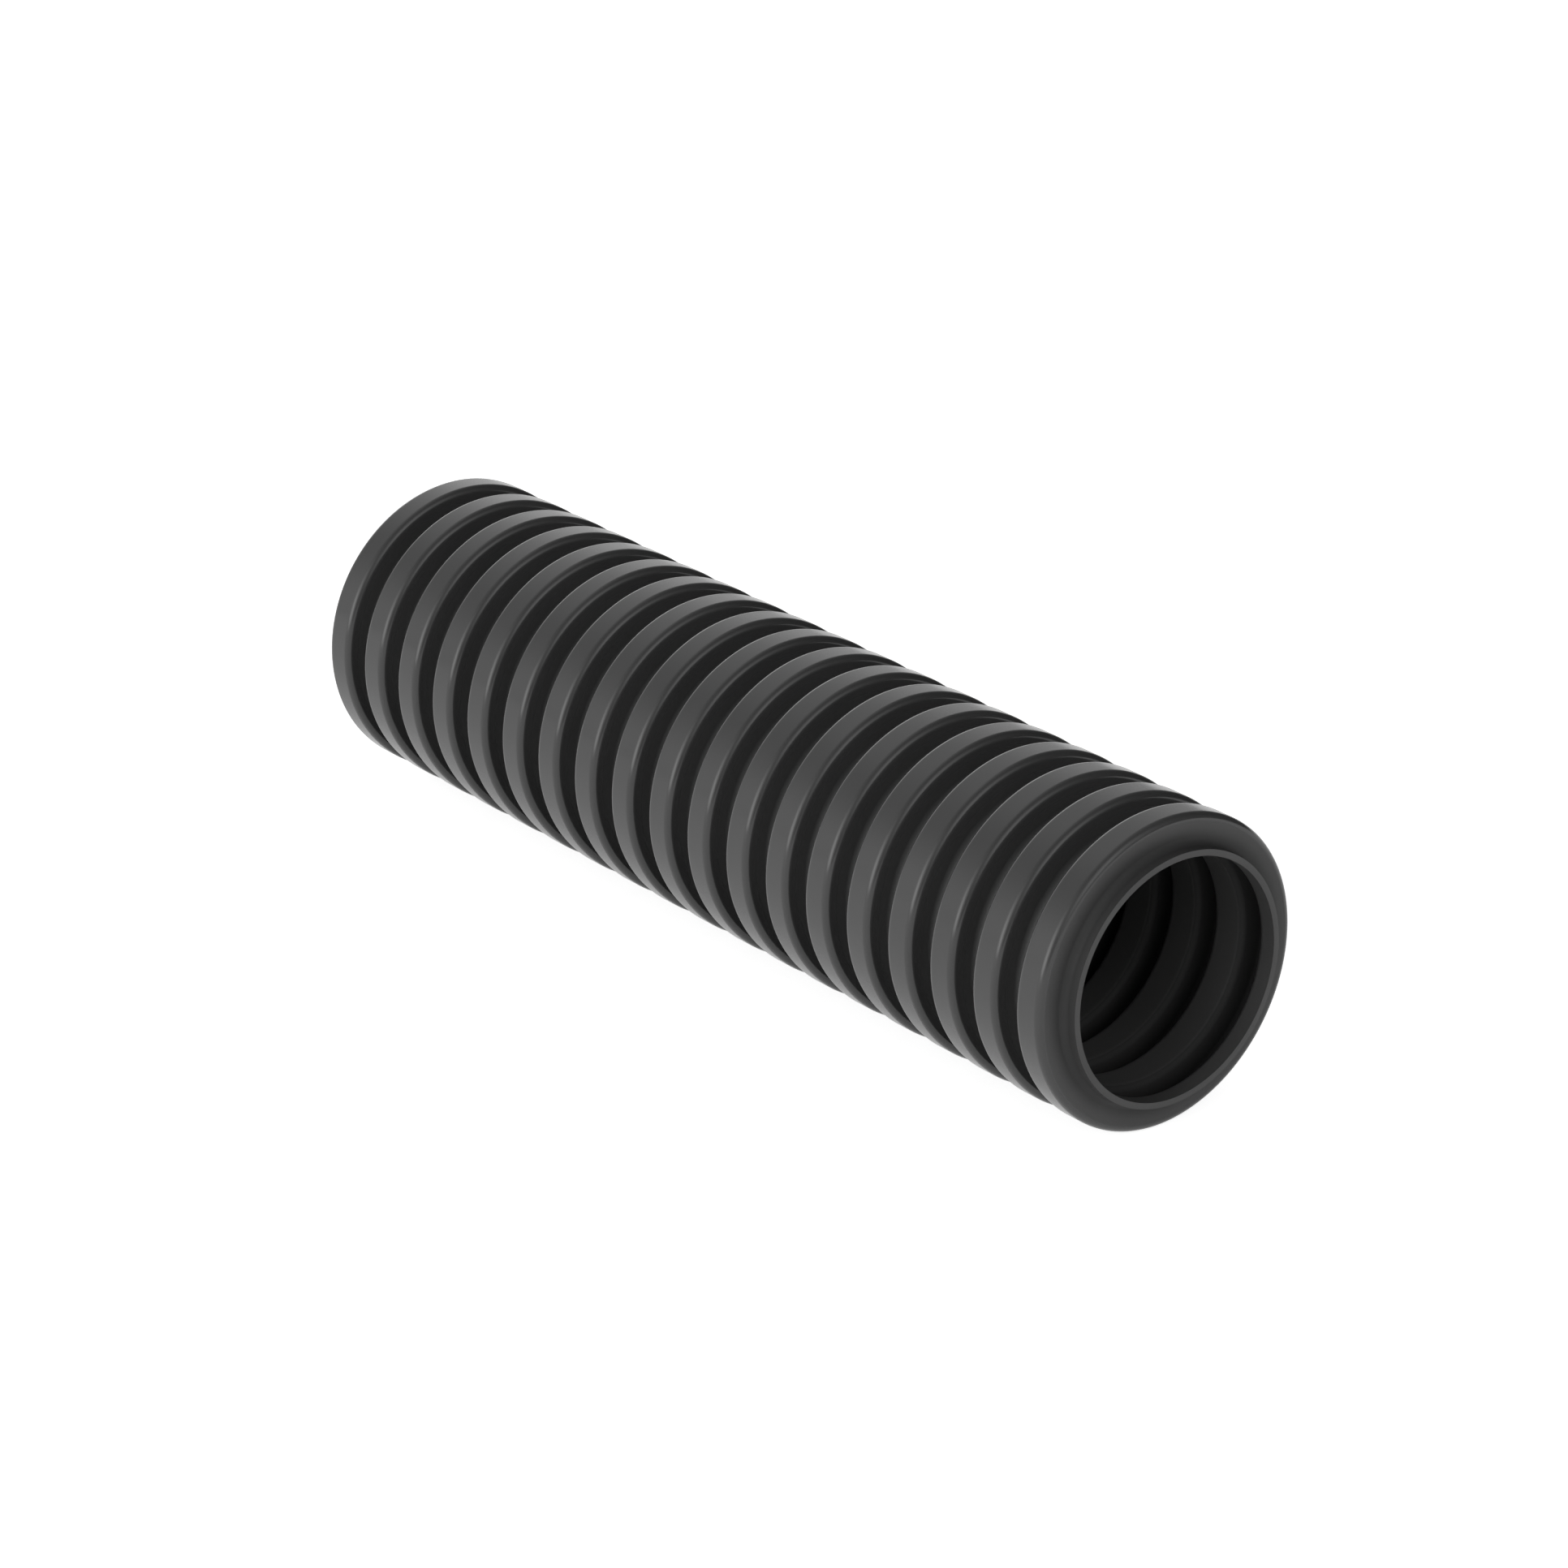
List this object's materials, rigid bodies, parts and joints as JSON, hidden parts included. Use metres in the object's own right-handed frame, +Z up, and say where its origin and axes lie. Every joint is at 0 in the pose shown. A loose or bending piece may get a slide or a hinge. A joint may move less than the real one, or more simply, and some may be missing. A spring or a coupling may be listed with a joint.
{
  "type": "corrugated wire loom tube",
  "caption": "Short cut length of thin-walled corrugated plastic wire loom, unsplit, with square rounded ribs and an open bore that cables run through.",
  "frame": {"origin": "on the tube's axis, halfway between its two cut ends", "axes": "+X along the tube's axis, towards the end with the longer plain collar; +Z up as the tube lies on a level floor, which is one rib radius below the origin"},
  "size_m": [0.048, 0.013, 0.013],
  "materials": {
    "black_plastic": "satin black moulded plastic"
  },
  "bodies": {
    "root": {"loom_tube": "black_plastic"}
  },
  "joints": []
}
